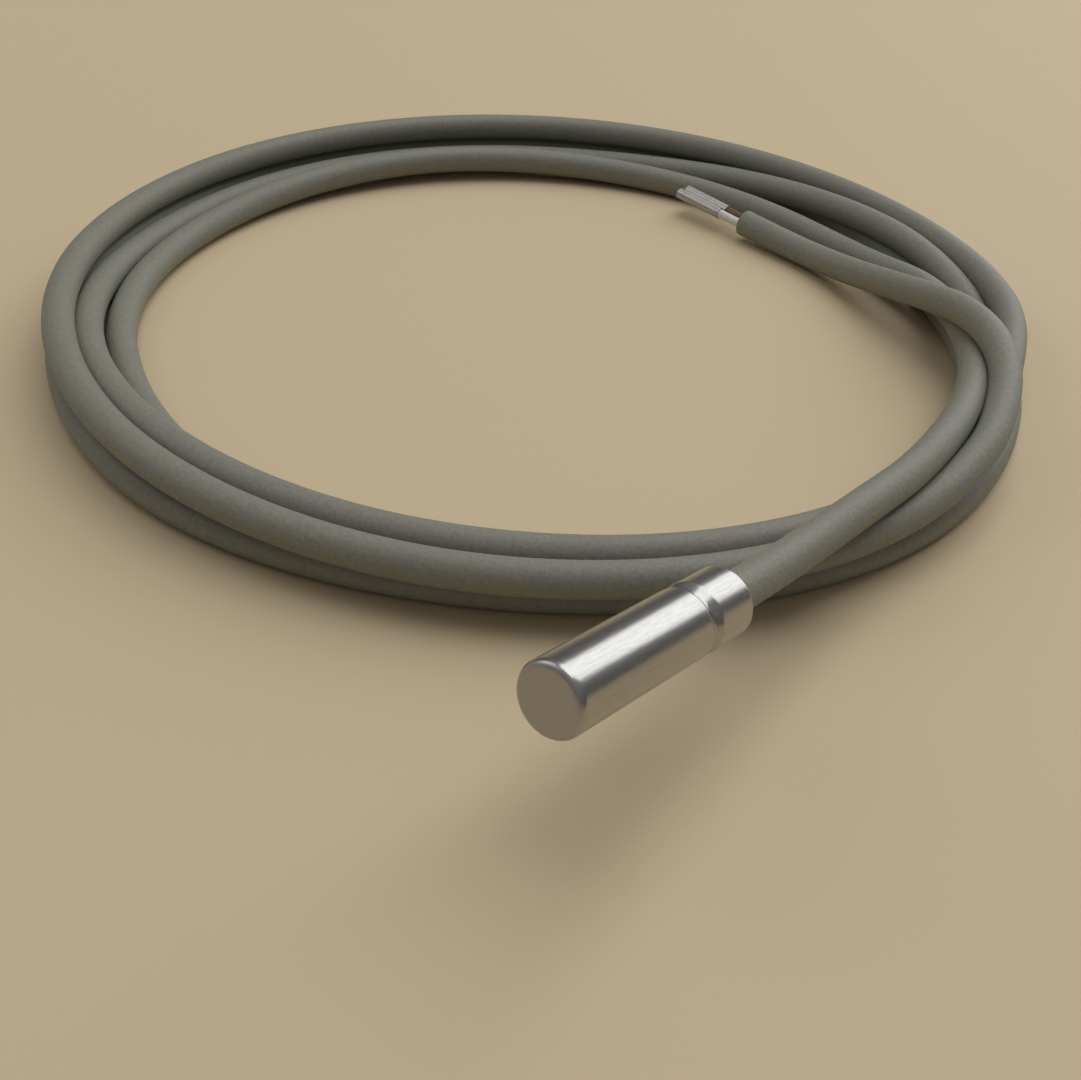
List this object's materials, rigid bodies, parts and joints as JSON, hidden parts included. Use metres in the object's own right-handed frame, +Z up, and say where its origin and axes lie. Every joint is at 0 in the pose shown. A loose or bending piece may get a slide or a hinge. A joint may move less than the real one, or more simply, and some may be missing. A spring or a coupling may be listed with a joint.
{
  "type": "temperature probe",
  "caption": "Cable temperature probe: a short closed metal sleeve with a rolled groove, holding a film sensor, on a round grey cable that lies in a loose coil with bare core ends.",
  "frame": {"origin": "centre of the flat face at the sleeve's closed tip", "axes": "+Z up from the surface that the coil lies on, +Y level, from the tip towards the sleeve's open end, +X across the sleeve"},
  "size_m": [0.1174, 0.1244, 0.019],
  "materials": {
    "sleeve_steel": "satin drawn stainless steel",
    "seal_rubber": "matte",
    "chip_ceramic": "fired ceramic",
    "glaze": "glossy",
    "leg_metal": "bright wire",
    "splice_metal": "crimped",
    "splice_tube": "matte",
    "conductor": "stranded copper",
    "core_white": "matte",
    "core_brown": "matte",
    "resin": "cast",
    "cable_jacket": "matte grey jacket",
    "ferrule_tin": "tinned"
  },
  "bodies": {
    "root": {"probe_sleeve": "sleeve_steel", "cable_seal": "seal_rubber", "sensor_chip": "chip_ceramic", "chip_glaze": "glaze", "chip_leg_left": "leg_metal", "chip_leg_right": "leg_metal", "splice_left": "splice_metal", "splice_right": "splice_metal", "splice_tube_left": "splice_tube", "splice_tube_right": "splice_tube", "core_conductor_left": "conductor", "core_conductor_right": "conductor", "core_insulation_left": "core_white", "core_insulation_right": "core_brown", "resin_fill": "resin", "cable_lead": "cable_jacket", "cable_coil": "cable_jacket", "cable_tail": "cable_jacket", "tail_core_left": "core_white", "tail_core_right": "core_brown", "tail_conductor_left": "conductor", "tail_conductor_right": "conductor", "ferrule_left": "ferrule_tin", "ferrule_right": "ferrule_tin"}
  },
  "joints": []
}
